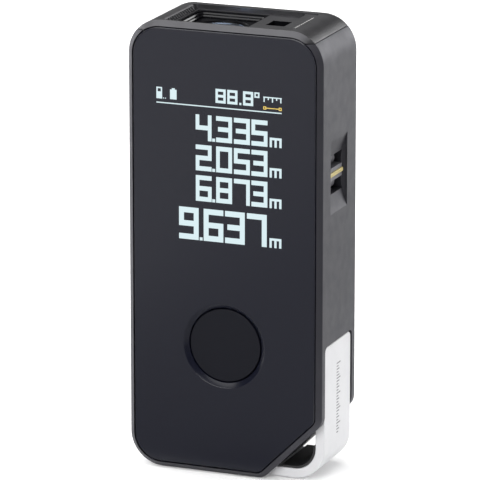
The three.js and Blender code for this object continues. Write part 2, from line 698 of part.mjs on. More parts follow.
BOSSES.forEach(([x, z], i) => {
  addPart("chassis_screw_" + (i + 1), screw("y", CHASSIS.front + 0.03, -6.2, -2.6, x, z), LOOK.steel);
});
[-1, 1].forEach((side, i) => {
  const { x, head, shoulder, tip } = CAP_SCREW;
  addPart("cap_screw_" + (i + 1), screw("z", head, shoulder, tip, side * x, 0), LOOK.steel);
});
addPart("strap_screw_side", screw("x", 12.4, 13.36, 15.8, 0, STRAP_SCREW.z), LOOK.steel);
addPart("strap_screw_base", screw("z", 4.4, 3.44, 0.8, STRAP_SCREW.x, 0), LOOK.steel);

export default group;
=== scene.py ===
import json
import math

import bmesh
import bpy
from mathutils import Matrix, Vector


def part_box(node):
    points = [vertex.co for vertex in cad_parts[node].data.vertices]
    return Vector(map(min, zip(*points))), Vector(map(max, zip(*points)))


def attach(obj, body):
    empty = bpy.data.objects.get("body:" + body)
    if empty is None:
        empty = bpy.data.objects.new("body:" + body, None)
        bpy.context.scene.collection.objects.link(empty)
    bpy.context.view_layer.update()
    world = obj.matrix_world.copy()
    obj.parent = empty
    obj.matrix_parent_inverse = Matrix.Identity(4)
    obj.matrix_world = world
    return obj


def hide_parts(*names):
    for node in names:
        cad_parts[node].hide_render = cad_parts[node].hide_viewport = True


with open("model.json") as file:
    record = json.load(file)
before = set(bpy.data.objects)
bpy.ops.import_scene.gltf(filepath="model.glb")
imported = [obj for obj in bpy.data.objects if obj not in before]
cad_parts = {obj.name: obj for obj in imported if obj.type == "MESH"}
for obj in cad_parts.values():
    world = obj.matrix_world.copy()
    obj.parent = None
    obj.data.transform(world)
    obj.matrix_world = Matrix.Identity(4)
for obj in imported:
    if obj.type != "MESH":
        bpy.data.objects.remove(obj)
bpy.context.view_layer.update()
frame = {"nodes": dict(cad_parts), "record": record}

MM = 0.001


# ---------- Sizes taken from the frame, in millimetres ----------

def node_box(node):
    low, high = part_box(node)
    return low / MM, high / MM


HOUSING = node_box("main_housing")
CAP = node_box("top_cap")
PANEL = node_box("front_panel")
COVER = node_box("rear_cover")
BUTTON = node_box("measure_button")
LEVER = node_box("side_lever")
ACCENT = node_box("lever_accent")
PIN = node_box("lever_pin")
STRAP = node_box("wrist_strap_loop")
LINER = node_box("loop_liner")
LENS = node_box("receiver_lens")
RETAINER = node_box("lens_retainer")
BRACKET = node_box("optics_bracket")
USB = node_box("usb_shell")
EMITTER = node_box("emitter_window")

HALF_W = HOUSING[1].x
FRONT = HOUSING[0].y
BACK = HOUSING[1].y
HEIGHT = CAP[1].z
SEAM_Z = HOUSING[1].z

# ---------- Sizes of the visible shape, in millimetres ----------

CORNER_R = 5.5
CHAMFER = 10.0
CHAMFER_BLEND_R = 2.5
EDGE_IN = 0.85
EDGE_DEEP = 0.79
WALL = 2.2
POCKET_DEEP = 1.35
MOUTH_HALF = 13.3  # half width of the housing's mouth for the top cap's plug
PANEL_INSET = 1.05
RIM = (0.99, 1.16)  # insets of the panel's polished edge
PANEL_RELIEF = 0.02  # how far the panel's face lies behind the rim, so that the figures stay inside the rim

BUTTON_Z = (BUTTON[0].z + BUTTON[1].z) / 2
BUTTON_R = 6.0
BUTTON_HOLE_R = 6.17
DISH_R = 6.95
DISH_DEEP = 0.65

FLOOR_Z = HEIGHT - 0.78
SHELF_Z = HEIGHT - 0.16
SHELF_RIGHT = 10.9
CAP_FOOT = SEAM_Z + 0.1
POCKET = {"left": -10.8, "left_floor": -10.0, "right": 8.6, "front": -6.9, "back": 5.9, "corner": 0.8}
WINDOW = {"x0": -9.7, "x1": 2.45, "y0": -6.3, "y1": 5.6}
LASER_X = (EMITTER[0].x + EMITTER[1].x) / 2
LASER_Y = (EMITTER[0].y + EMITTER[1].y) / 2
LASER_HALF = 1.75
LASER_CAVITY = {"half": 2.3, "top": 71.6}
CAP_PLUG = {"half": 12.9, "y0": -6.6, "y1": 6.4}
BEZEL = {"gap": 0.1, "wall": 0.22, "floor": 71.7, "corner": 1.2}
LENS_SEAT_R = 4.96

LEVER_Z = (LEVER[0].z + LEVER[1].z) / 2
PIVOT_X = (PIN[0].x + PIN[1].x) / 2
SCOOP_Y = (-4.05, 3.35)
SCOOP_END_R = 0.9
SLOT_REAR = 2.95
SCOOP_CHORD = 12.0
SCOOP_DEEP = 1.05
SLOT_HALF = 3.15
WING = {"inner": 13.9, "foot": 14.2, "outer": 14.85, "half": 2.65, "rear": 2.0, "pad_z": 1.95, "pad_r": 1.05}

STRAP_OUT = HALF_W - STRAP[1].x
STRAP_THICK = 1.55
STRAP_BEND = 5.2
STRAP_GAP = 0.25

FAR = 60.0
BELOW_CAP_Z = 60.0  # where cutters that pass down through the top cap end
SKY_Z = FAR + 30

# ---------- Limits of the mesh building, in millimetres ----------

ON_AXIS = 0.0001  # radius that stands for a point on the axis
SAME_POINT = 0.001
SHORT_EDGE = 0.02  # edges shorter than this are closed up before a bevel, so that they don't hold it back


# ---------- Outlines ----------

def rounded(corners, steps=12):
    """Points of a polygon given as (u, v, radius) corners, with each corner rounded to its radius."""
    points = []
    for i, (u, v, radius) in enumerate(corners):
        here = Vector((u, v))
        if radius <= 0:
            points.append((u, v))
            continue
        before = (Vector(corners[i - 1][:2]) - here).normalized()
        after = (Vector(corners[(i + 1) % len(corners)][:2]) - here).normalized()
        half = before.angle(after) / 2
        centre = here + (before + after).normalized() * (radius / math.sin(half))
        spoke = here + before * (radius / math.tan(half)) - centre
        side = -1 if before.x * after.y - before.y * after.x > 0 else 1
        turn = side * (math.pi - 2 * half)
        for k in range(steps + 1):
            point = centre + Matrix.Rotation(turn * k / steps, 2) @ spoke
            points.append((point.x, point.y))
    return points


def rounded_rect(u0, u1, v0, v1, radius, steps=8):
    return rounded([(u0, v0, radius), (u1, v0, radius), (u1, v1, radius), (u0, v1, radius)], steps)


def body_outline(inset, steps=14):
    """The body's front outline in x and z, moved inwards by an inset."""
    side = HALF_W - inset
    slant = inset * (math.sqrt(2) - 1)
    corner = CORNER_R - inset
    blend = max(CHAMFER_BLEND_R - inset, 0.4)
    return rounded(
        [
            (-side, inset, corner),
            (HALF_W - CHAMFER - slant, inset, blend),
            (side, CHAMFER + slant, blend),
            (side, HEIGHT - inset, corner),
            (-side, HEIGHT - inset, corner),
        ],
        steps,
    )


def circle(u, v, radius, steps=64):
    turns = [2 * math.pi * k / steps for k in range(steps)]
    return [(u + radius * math.cos(a), v + radius * math.sin(a)) for a in turns]


# ---------- Mesh building, in millimetres ----------

def mesh_object(name, points, faces):
    mesh = bpy.data.meshes.new(name)
    mesh.from_pydata(points, [], faces)
    mesh.update()
    made = bpy.data.objects.new(name, mesh)
    bpy.context.scene.collection.objects.link(made)
    tidy_normals(made)
    return made


def tidy_normals(made):
    work = bmesh.new()
    work.from_mesh(made.data)
    bmesh.ops.remove_doubles(work, verts=work.verts, dist=SAME_POINT)
    bmesh.ops.recalc_face_normals(work, faces=work.faces)
    work.to_mesh(made.data)
    work.free()


def rings_object(name, rings, closed=False):
    """A solid from rings with equal numbers of points, capped at both ends or closed on itself."""
    size = len(rings[0])
    points = [p for ring in rings for p in ring]
    faces = []
    spans = len(rings) if closed else len(rings) - 1
    for i in range(spans):
        a, b = i * size, ((i + 1) % len(rings)) * size
        for k in range(size):
            n = (k + 1) % size
            faces.append((a + k, a + n, b + n, b + k))
    if not closed:
        faces.append(tuple(range(size)))
        faces.append(tuple(range((len(rings) - 1) * size, len(rings) * size)))
    return mesh_object(name, points, faces)


def placed(axis, u, v, along):
    """A point from its place along an axis and its other two coordinates, in x, y, z order."""
    return {"x": (along, u, v), "y": (u, along, v), "z": (u, v, along)}[axis]


def prism(axis, outline, a0, a1, name="cutter"):
    rings = [[placed(axis, u, v, a) for u, v in outline] for a in (a0, a1)]
    return rings_object(name, rings)


def block(x0, x1, y0, y1, z0, z1, name="cutter"):
    return prism("z", [(x0, y0), (x1, y0), (x1, y1), (x0, y1)], z0, z1, name)


def rod(axis, u, v, radius, a0, a1, steps=64, name="cutter"):
    return prism(axis, circle(u, v, radius, steps), a0, a1, name)


def turned(axis, u, v, profile, steps=96, name="cutter"):
    """A solid of revolution, from a profile of (radius, place along the axis)."""
    rings = []
    for radius, along in profile:
        rings.append([placed(axis, p, q, along) for p, q in circle(u, v, max(radius, ON_AXIS), steps)])
    return rings_object(name, rings)


def apply_modifiers(made):
    graph = bpy.context.evaluated_depsgraph_get()
    mesh = bpy.data.meshes.new_from_object(made.evaluated_get(graph))
    made.modifiers.clear()
    spent = made.data
    made.data = mesh
    bpy.data.meshes.remove(spent)


def combine(made, tools, operation):
    for tool in tools:
        step = made.modifiers.new("combine", "BOOLEAN")
        step.object = tool
        step.operation = operation
        step.solver = "EXACT"
    apply_modifiers(made)
    for tool in tools:
        mesh = tool.data
        bpy.data.objects.remove(tool)
        bpy.data.meshes.remove(mesh)
    return made


def cut(made, *tools):
    return combine(made, tools, "DIFFERENCE")


def joined(made, *tools):
    return combine(made, tools, "UNION")


def kept_inside(made, *tools):
    return combine(made, tools, "INTERSECT")


def weld(made, distance):
    """Joins points that lie closer than a distance and removes the faces left without area."""
    work = bmesh.new()
    work.from_mesh(made.data)
    bmesh.ops.remove_doubles(work, verts=work.verts, dist=distance)
    bmesh.ops.dissolve_degenerate(work, edges=work.edges, dist=distance)
    work.to_mesh(made.data)
    work.free()


def soften(made, width, segments=3, angle=32):
    """Rounds every edge sharper than an angle."""
    weld(made, SHORT_EDGE)
    step = made.modifiers.new("soften", "BEVEL")
    step.width = width
    step.segments = segments
    step.limit_method = "ANGLE"
    step.angle_limit = math.radians(angle)
    step.miter_outer = "MITER_ARC"
    step.use_clamp_overlap = True
    apply_modifiers(made)
    weld(made, SAME_POINT)
    return made


def smooth(made, angle=35):
    made.data.shade_smooth()
    made.data.set_sharp_from_angle(angle=math.radians(angle))
    step = made.modifiers.new("even_normals", "WEIGHTED_NORMAL")
    step.keep_sharp = True
    step.weight = 60
    return made


def finished(made, name, look, body, replaces=()):
    """Scales a piece to metres, gives it its material and ties it to the frame."""
    made.name = name
    made.data.name = name
    made.data.transform(Matrix.Scale(MM, 4))
    made.data.materials.clear()
    made.data.materials.append(look)
    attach(made, body)
    if replaces:
        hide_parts(*replaces)
    return made


# ---------- Materials ----------

class Look:
    """A principled material whose colour, roughness and bump come from noise in the object's own space."""

    def __init__(self, name, color, roughness, metallic=0.0, specular=0.5):
        self.material = bpy.data.materials.new(name)
        self.material.use_nodes = True
        self.nodes = self.material.node_tree.nodes
        self.links = self.material.node_tree.links
        self.shader = self.nodes["Principled BSDF"]
        self.shader.inputs["Base Color"].default_value = (*color, 1)
        self.shader.inputs["Roughness"].default_value = roughness
        self.shader.inputs["Metallic"].default_value = metallic
        self.shader.inputs["Specular IOR Level"].default_value = specular
        self.color = color
        self.roughness = roughness
        self.place = self.nodes.new("ShaderNodeTexCoord").outputs["Object"]

    def noise(self, size, detail=2.0, stretch=None):
        """Noise whose features are about one size across, in millimetres."""
        place = self.place
        if stretch:
            mapping = self.nodes.new("ShaderNodeMapping")
            mapping.inputs["Scale"].default_value = stretch
            self.links.new(self.place, mapping.inputs["Vector"])
            place = mapping.outputs["Vector"]
        noise = self.nodes.new("ShaderNodeTexNoise")
        noise.inputs["Scale"].default_value = 1 / (size * MM)
        noise.inputs["Detail"].default_value = detail
        self.links.new(place, noise.inputs["Vector"])
        return noise.outputs["Fac"]

    def between(self, factor, low, high):
        step = self.nodes.new("ShaderNodeMapRange")
        step.inputs["From Min"].default_value = 0.3
        step.inputs["From Max"].default_value = 0.7
        step.inputs["To Min"].default_value = low
        step.inputs["To Max"].default_value = high
        self.links.new(factor, step.inputs["Value"])
        return step.outputs["Result"]

    def mottle(self, size, amount):
        """Small changes of colour."""
        ramp = self.nodes.new("ShaderNodeMix")
        ramp.data_type = "RGBA"
        ramp.inputs["A"].default_value = (*[c * (1 - amount) for c in self.color], 1)
        ramp.inputs["B"].default_value = (*[min(1, c * (1 + amount)) for c in self.color], 1)
        self.links.new(self.between(self.noise(size, 4), 0, 1), ramp.inputs["Factor"])
        self.links.new(ramp.outputs["Result"], self.shader.inputs["Base Color"])
        return self

    def patchy(self, size, amount):
        """Small changes of roughness, as handling leaves."""
        low, high = max(0.02, self.roughness - amount), min(1, self.roughness + amount)
        self.links.new(self.between(self.noise(size, 5), low, high), self.shader.inputs["Roughness"])
        return self

    def grain(self, size, height, strength=0.5, stretch=None):
        """Fine relief, with its height in millimetres."""
        bump = self.nodes.new("ShaderNodeBump")
        bump.inputs["Strength"].default_value = strength
        bump.inputs["Distance"].default_value = height * MM
        self.links.new(self.noise(size, 2, stretch), bump.inputs["Height"])
        self.links.new(bump.outputs["Normal"], self.shader.inputs["Normal"])
        return self

    def glow(self, color, strength):
        self.shader.inputs["Emission Color"].default_value = (*color, 1)
        self.shader.inputs["Emission Strength"].default_value = strength
        return self


def moulded(name, color, roughness, size=0.2, height=0.004):
    """Moulded plastic with a fine spark-eroded grain."""
    return Look(name, color, roughness).mottle(6, 0.08).patchy(3, 0.05).grain(size, height).material


def plated(name, color, roughness):
    """Plated or machined metal with fine scratches."""
    return Look(name, color, roughness, 1.0).mottle(2, 0.1).patchy(0.8, 0.08).grain(0.15, 0.002).material


LOOKS = {
    "housing": Look("blasted_dark_grey", (0.042, 0.0415, 0.05), 0.5, 0.6).mottle(5, 0.05)
    .patchy(2, 0.04).grain(0.12, 0.006, 0.4).material,
    "cap": Look("cap_dark_grey", (0.066, 0.0655, 0.07), 0.37, 0.8).mottle(5, 0.05)
    .patchy(2, 0.05).grain(0.1, 0.004, 0.4).material,
    "panel": Look("panel_black", (0.0036, 0.0042, 0.0102), 0.27, 0.0, 0.28).mottle(40, 0.03)
    .patchy(60, 0.006).grain(0.06, 0.0005, 0.2).material,
    "lever": Look("lever_grey", (0.11, 0.108, 0.12), 0.5, 0.1).mottle(3, 0.05)
    .patchy(1, 0.04).grain(0.12, 0.004, 0.4).material,
    "rim": Look("panel_edge", (0.004, 0.0042, 0.0105), 0.2, 0.0, 1.0).mottle(10, 0.05)
    .patchy(5, 0.03).grain(0.1, 0.001, 0.2).material,
    "button": Look("button_black", (0.003, 0.0034, 0.007), 0.42, 0.0, 0.17).mottle(5, 0.06)
    .patchy(2, 0.04).grain(0.06, 0.002, 0.4).material,
    "strap_metal": Look("strap_silver", (0.58, 0.58, 0.594), 0.42, 0.1).mottle(4, 0.02)
    .patchy(1.5, 0.05).grain(0.1, 0.003, 0.3).material,
    "liner": moulded("liner_black", (0.012, 0.012, 0.013), 0.55, 0.15, 0.01),
    "black_plastic": moulded("black_plastic", (0.016, 0.016, 0.018), 0.5),
    "light_plastic": moulded("light_plastic", (0.72, 0.72, 0.7), 0.45),
    "accent": moulded("accent_yellow", (0.5, 0.42, 0.17), 0.42, 0.08, 0.002),
    "circuit_board": moulded("solder_mask", (0.015, 0.11, 0.05), 0.35, 0.5, 0.01),
    "chip": moulded("chip_epoxy", (0.014, 0.014, 0.016), 0.6, 0.05, 0.004),
    "steel": plated("plated_steel", (0.56, 0.56, 0.58), 0.3),
    "brass": plated("turned_brass", (0.62, 0.42, 0.14), 0.28),
    # The ribs' near-black colour is painted shade, darkening the slope that reflects little light.
    "ribs": Look("ribs_painted_shade_black", (0.01, 0.01, 0.012), 0.4, 0.0, 0.2).mottle(2, 0.1)
    .patchy(2, 0.04).grain(0.3, 0.001, 0.3).material,
    "lining": Look("lining_black", (0.004, 0.004, 0.005), 0.2, 0.0, 0.3).mottle(2, 0.1)
    .patchy(2, 0.03).grain(0.3, 0.001, 0.2).material,
    "bracket": Look("bracket_black", (0.004, 0.004, 0.005), 0.25, 0.0, 0.03).mottle(2, 0.1)
    .patchy(2, 0.04).grain(0.3, 0.001, 0.3).material,
    "cell_wrap": plated("cell_pouch", (0.55, 0.57, 0.6), 0.42),
    "foam": moulded("foam_black", (0.02, 0.02, 0.02), 0.95, 0.25, 0.05),
    "red_wire": moulded("wire_red", (0.4, 0.02, 0.02), 0.45, 0.1, 0.002),
    "flex_film": moulded("flex_amber", (0.45, 0.2, 0.04), 0.3, 0.3, 0.002),
    "display_glass": Look("display_cell", (0.02, 0.025, 0.03), 0.12).mottle(3, 0.1).patchy(2, 0.03)
    .grain(1.0, 0.0005).material,
    "figures": Look("figures_glow", (0.02, 0.025, 0.025), 0.3).mottle(1, 0.03).patchy(1, 0.03)
    .glow((0.7, 0.86, 0.9), 0.92).material,
    "figures_yellow": Look("figures_yellow_glow", (0.2, 0.15, 0.05), 0.3).mottle(1, 0.03).patchy(1, 0.03)
    .glow((0.56, 0.39, 0.045), 0.95).material,
    "ink_dark": moulded("ink_grey", (0.2, 0.2, 0.21), 0.6, 0.05, 0.001),
    "ink_pale": moulded("ink_pale", (0.5, 0.5, 0.49), 0.6, 0.05, 0.001),
}


def glass_look(name, tint, roughness):
    look = Look(name, tint, roughness)
    look.shader.inputs["Transmission Weight"].default_value = 1.0
    look.shader.inputs["IOR"].default_value = 1.5
    look.shader.inputs["Coat Weight"].default_value = 0.4
    look.shader.inputs["Coat Tint"].default_value = (0.7, 0.82, 1.0, 1)
    look.patchy(2, 0.01)
    return look.material


LOOKS["lens_glass"] = glass_look("coated_glass", (0.9, 0.94, 1.0), 0.08)


# ---------- Housing ----------

def edge_profile(front, back, soft=0.25, steps=4):
    """Insets and depths of the outer wall from the front lip round the bevels to the rear lip."""
    corners = [
        (EDGE_IN, front, 0),
        (0, front + EDGE_DEEP, soft),
        (0, back - EDGE_DEEP, soft),
        (EDGE_IN, back, 0),
    ]
    return rounded(corners, steps)


def outline_rings(profile):
    """The body's outline repeated at each (inset, depth) of a profile."""
    return [[(x, y, z) for x, z in body_outline(inset)] for inset, y in profile]


def strap_recess():
    """Cutters for the shallow recesses that the two ends of the strap lie in."""
    wide = STRAP[1].y + STRAP_GAP
    inner = STRAP_OUT + STRAP_THICK + 0.1
    upright = rounded_rect(-wide, wide, -FAR, STRAP[1].z + STRAP_GAP, 1)
    foot = rounded_rect(STRAP[0].x - STRAP_GAP, FAR, -wide, wide, 1)
    return [
        prism("x", upright, HALF_W - inner, HALF_W + 1),
        prism("z", foot, -1, inner),
    ]


def dish_tool(x, chord, deep, y0, y1):
    """A cylinder that cuts a dish of a given chord and depth into a face at x, at the lever's height."""
    radius = chord ** 2 / (8 * deep) + deep / 2
    return rod("y", x + radius - deep, LEVER_Z, radius, y0, y1, steps=240)


def lever_scoop():
    """Cutters for the dished scoop in the right side and for the lever's slot in its floor."""
    z0, z1 = LEVER_Z - SLOT_HALF, LEVER_Z + SLOT_HALF
    floor_x, (y0, y1) = HALF_W - SCOOP_DEEP - 0.05, SCOOP_Y
    plan = rounded([(floor_x, y0, 0), (HALF_W + 2, y0, 0), (HALF_W + 2, y1, 0), (floor_x, y1, SCOOP_END_R)])
    dish = dish_tool(HALF_W, SCOOP_CHORD, SCOOP_DEEP, y0 - 1, y1 + 1)
    return [
        kept_inside(dish, prism("z", plan, LEVER_Z - SCOOP_CHORD, LEVER_Z + SCOOP_CHORD)),
        block(HALF_W - WALL - 2, HALF_W + 1, y0, SLOT_REAR, z0, z1),
    ]


def usb_mouth():
    gap, corner = 0.13, 1.6
    outline = rounded_rect(USB[0].x - gap, USB[1].x + gap, USB[0].y - gap, USB[1].y + gap, corner)
    return prism("z", outline, -1, WALL + 1)


def housing():
    inner = [(EDGE_IN, BACK - POCKET_DEEP), (WALL, BACK - POCKET_DEEP)]
    inner += [(WALL, FRONT + POCKET_DEEP), (EDGE_IN, FRONT + POCKET_DEEP)]
    sleeve = rings_object("housing", outline_rings(edge_profile(FRONT, BACK) + inner), closed=True)
    cut(
        sleeve,
        block(-FAR, FAR, -FAR, FAR, SEAM_Z, SKY_Z),
        block(-MOUTH_HALF, MOUTH_HALF, -FAR, FAR, BELOW_CAP_Z, SKY_Z),
    )
    # Thicker walls behind the two ends of the strap.
    wide, skin, overlap = STRAP[1].y + 0.6, 1.0, 0.8
    side_x, foot_z = 13.4, 3.4
    joined(
        sleeve,
        block(side_x, HALF_W - skin, -wide, wide, CHAMFER + overlap, STRAP[1].z + 1.4),
        block(STRAP[0].x - 1.2, HALF_W - CHAMFER + overlap, -wide, wide, skin, foot_z),
    )
    cut(sleeve, *strap_recess(), *lever_scoop(), usb_mouth())
    soften(sleeve, 0.09, 2)
    return smooth(sleeve)


# ---------- Front panel with the button's dish, and the rear cover ----------

def front_panel():
    face = FRONT + PANEL_RELIEF
    sheet = prism("y", body_outline(RIM[1]), face, PANEL[1].y, "panel")
    hole = turned(
        "y", 0, BUTTON_Z,
        [
            (0, FRONT - 1), (DISH_R, FRONT - 1), (DISH_R, face),
            (BUTTON_HOLE_R, face + DISH_DEEP), (BUTTON_HOLE_R, FAR), (0, FAR),
        ],
        160,
    )
    cut(sheet, hole)
    soften(sheet, 0.1, 3, 25)
    return smooth(sheet)


def panel_rim():
    """The polished edge of the panel: a narrow ring with a sloping face."""
    outer, inner = RIM
    crest, back = FRONT + 0.03, PANEL[1].y - 0.1
    drop = inner - outer - 0.03
    profile = [(outer, crest + drop), (inner - 0.03, crest), (inner, crest), (inner, back), (outer, back)]
    return smooth(rings_object("rim", outline_rings(profile), closed=True), 20)


def rear_cover():
    """The flat cover, with a hollow post for each chassis screw."""
    thick, post_r, bore_r, bore_end = 1.2, 1.7, 0.76, -2.3
    sheet = prism("y", body_outline(PANEL_INSET), BACK - thick, BACK, "cover")
    screws = [node_box("chassis_screw_%d" % (i + 1)) for i in range(4)]
    posts = []
    bores = []
    for low, high in screws:
        x, z = (low.x + high.x) / 2, (low.z + high.z) / 2
        posts.append(rod("y", x, z, post_r, COVER[0].y, BACK - 1, 40))
        bores.append(rod("y", x, z, bore_r, COVER[0].y - 1, bore_end, 32))
    joined(sheet, *posts)
    cut(sheet, *bores)
    soften(sheet, 0.1, 3)
    return smooth(sheet)


# ---------- Top cap ----------

def cap_pocket():
    """The deep pocket round the window and the aperture, with a slope on its left."""
    left, right, front, back = POCKET["left"], POCKET["right"], POCKET["front"], POCKET["back"]
    top = HEIGHT + 1
    profile = [(left, top), (left, HEIGHT), (POCKET["left_floor"], FLOOR_Z), (right, FLOOR_Z), (right, top)]
    plan = rounded_rect(left, right, front, back, POCKET["corner"])
    return kept_inside(prism("y", profile, front, back), prism("z", plan, FLOOR_Z, top))


def laser_block(half, top):
    """A square block on the laser's axis."""
    return block(LASER_X - half, LASER_X + half, LASER_Y - half, LASER_Y + half, BELOW_CAP_Z, top)


def top_cap():
    slab = rings_object("cap", outline_rings(edge_profile(FRONT, BACK)))
    kept_inside(slab, block(-FAR, FAR, -FAR, FAR, CAP_FOOT, SKY_Z))
    recess = body_outline(EDGE_IN)
    cut(
        slab,
        prism("y", recess, FRONT - 1, FRONT + POCKET_DEEP),
        prism("y", recess, BACK - POCKET_DEEP, BACK + 1),
    )
    half = CAP_PLUG["half"]
    joined(slab, block(-half, half, CAP_PLUG["y0"], CAP_PLUG["y1"], CAP[0].z, CAP_FOOT + 0.2))
    shelf = rounded_rect(POCKET["right"] - 2, SHELF_RIGHT, POCKET["front"], POCKET["back"], POCKET["corner"])
    cut(
        slab,
        cap_pocket(),
        prism("z", shelf, SHELF_Z, HEIGHT + 1),
        block(WINDOW["x0"], WINDOW["x1"], WINDOW["y0"], WINDOW["y1"], BELOW_CAP_Z, SKY_Z),
        laser_block(LASER_HALF, SKY_Z),
        laser_block(LASER_CAVITY["half"], LASER_CAVITY["top"]),
    )
    soften(slab, 0.07, 3)
    return smooth(slab)


def cap_ribs():
    """A dark lining with fine ribs, down the left slope of the pocket; its dark colour is painted shade for
    the dim light that the slope reflects.
    """
    pitch, width, proud, skin, buried = 0.85, 0.46, 0.2, 0.03, 0.05
    front_gap, back_gap = 0.35, 0.7
    first, last = POCKET["front"] + front_gap, POCKET["back"] - back_gap
    comb = [(first, -buried), (first, skin)]
    for i in range(int((last - first) / pitch)):
        middle = first + (i + 0.5) * pitch
        comb += [(middle - width / 2, skin), (middle - width / 4, proud)]
        comb += [(middle + width / 4, proud), (middle + width / 2, skin)]
    comb += [(last, skin), (last, -buried)]
    top = Vector((POCKET["left"] + 0.2, HEIGHT - 0.2))
    foot = Vector((POCKET["left_floor"] - 0.02, FLOOR_Z + 0.02))
    slope = (foot - top).normalized()
    out = Vector((-slope.y, slope.x))
    rings = [[(end.x + out.x * h, y, end.y + out.y * h) for y, h in comb] for end in (top, foot)]
    return smooth(rings_object("ribs", rings), 20)


# ---------- Optics ----------

def dome(radius, rim_z, apex_z, steps=16):
    """The profile of a spherical cap, from its rim up to its apex."""
    rise = apex_z - rim_z
    sphere = (radius ** 2 + rise ** 2) / (2 * rise)
    angle = math.asin(radius / sphere)
    profile = []
    for k in range(steps + 1):
        a = angle * (1 - k / steps)
        profile.append((sphere * math.sin(a), apex_z - sphere * (1 - math.cos(a))))
    return profile


def lens_centre():
    return (LENS[0].x + LENS[1].x) / 2, (LENS[0].y + LENS[1].y) / 2


def receiver_lens():
    radius = (LENS[1].x - LENS[0].x) / 2
    rim_height = 1.2
    rim = LENS[0].z + rim_height
    profile = [(0, LENS[0].z), (radius, LENS[0].z)] + dome(radius, rim, LENS[1].z)
    return smooth(turned("z", *lens_centre(), profile, 96, "lens"), 40)


def lens_retainer():
    radius = (RETAINER[1].x - RETAINER[0].x) / 2
    ring = rod("z", *lens_centre(), radius, RETAINER[0].z, RETAINER[1].z, 96, "retainer")
    inner, flare, over = 4.45, 0.2, RETAINER[1].z + 0.05
    bore = [(0, BELOW_CAP_Z), (inner, BELOW_CAP_Z), (inner, RETAINER[0].z), (inner + flare, over), (0, over)]
    cut(ring, turned("z", *lens_centre(), bore, 96))
    soften(ring, 0.05, 2)
    return smooth(ring)


def optics_bracket():
    """The dark block that holds the optics: neck, cone housing, laser arm, flange and the window's bezel."""
    x, y = lens_centre()
    top = BRACKET[1].z
    left, right, front, back = -9.4, 2.3, -5.65, 5.8
    neck_z, wide_z, arm_z, foot, flange = 50, 65.2, 58, 68.5, 70.6
    arm_right, arm_half, throat_front, laser_r = 9.4, 3.4, -4.6, 2.56
    x0, x1 = WINDOW["x0"] + BEZEL["gap"], WINDOW["x1"] - BEZEL["gap"]
    y0, y1 = WINDOW["y0"] + BEZEL["gap"], WINDOW["y1"] - BEZEL["gap"]
    body = block(BRACKET[0].x, BRACKET[1].x, front, BRACKET[1].y, foot, flange, "bracket")
    joined(
        body,
        block(left, right, throat_front, back, neck_z, foot + 0.1),
        block(left, right, front, back, wide_z, foot + 0.1),
        block(right - 0.1, arm_right, -arm_half, arm_half, arm_z, foot + 0.1),
        rod("z", x, y, 3.6, BRACKET[0].z, neck_z + 0.1),
        block(x0, x1, front, y1, flange - 0.3, top),
        block(x0, x1, y0, y1, flange + 0.05, top),
    )
    wall = BEZEL["wall"]
    opening = rounded_rect(x0 + wall, x1 - wall, y0 + wall, y1 - wall, BEZEL["corner"], 12)
    seat, rim = LENS[0].z - 0.1, BEZEL["floor"] + 0.1
    low = neck_z - 10
    bore = [(0, low), (2.5, low), (2.5, neck_z + 0.2), (1.9, neck_z + 0.2), (4.5, seat)]
    bore += [(LENS_SEAT_R, seat), (LENS_SEAT_R, rim), (0, rim)]
    cut(
        body,
        prism("z", opening, BEZEL["floor"], SKY_Z),
        turned("z", x, y, bore, 96),
        rod("z", LASER_X, LASER_Y, laser_r, low, SKY_Z, 48),
    )
    soften(body, 0.08, 2)
    return smooth(body)


def window_steps():
    """Two chamfered steps of polished lining round the window."""
    foot, upper, lower, corner = 71.75, 72.5, 72.12, BEZEL["corner"] + 0.3
    profile = [(0.3, foot), (0.3, upper), (0.42, upper), (0.58, upper - 0.2)]
    profile += [(0.58, lower), (0.7, lower), (0.86, lower - 0.17), (0.86, foot)]
    rings = []
    for inset, z in profile:
        plan = rounded_rect(
            WINDOW["x0"] + inset, WINDOW["x1"] - inset,
            WINDOW["y0"] + inset, WINDOW["y1"] - inset, corner - inset,
        )
        rings.append([(x, y, z) for x, y in plan])
    return smooth(rings_object("steps", rings, closed=True), 20)


def painted_shade_aperture_tube():
    """A thin dark tube down the laser's square aperture: painted shade that darkens the inside of the
    aperture.
    """
    wall, foot = 0.12, 71.4
    tube = laser_block(LASER_HALF + 0.02, FLOOR_Z - 0.03)
    cut(tube, laser_block(LASER_HALF - wall, SKY_Z), block(-FAR, FAR, -FAR, FAR, BELOW_CAP_Z - 10, foot))
    return smooth(tube)


# ---------- Measure button ----------

def measure_button():
    face, back = BUTTON[0].y, BUTTON[1].y
    flange_r = (BUTTON[1].x - BUTTON[0].x) / 2
    flange, stem_r = face + 0.65, 1.6
    shoulder = flange + 0.5
    profile = [
        (0, face), (BUTTON_R, face), (BUTTON_R, flange), (flange_r, flange),
        (flange_r, shoulder), (stem_r, shoulder), (stem_r, back), (0, back),
    ]
    cap = turned("y", 0, BUTTON_Z, profile, 160, "button")
    soften(cap, 0.13, 4, 40)
    return smooth(cap, 40)


# ---------- Mode lever ----------

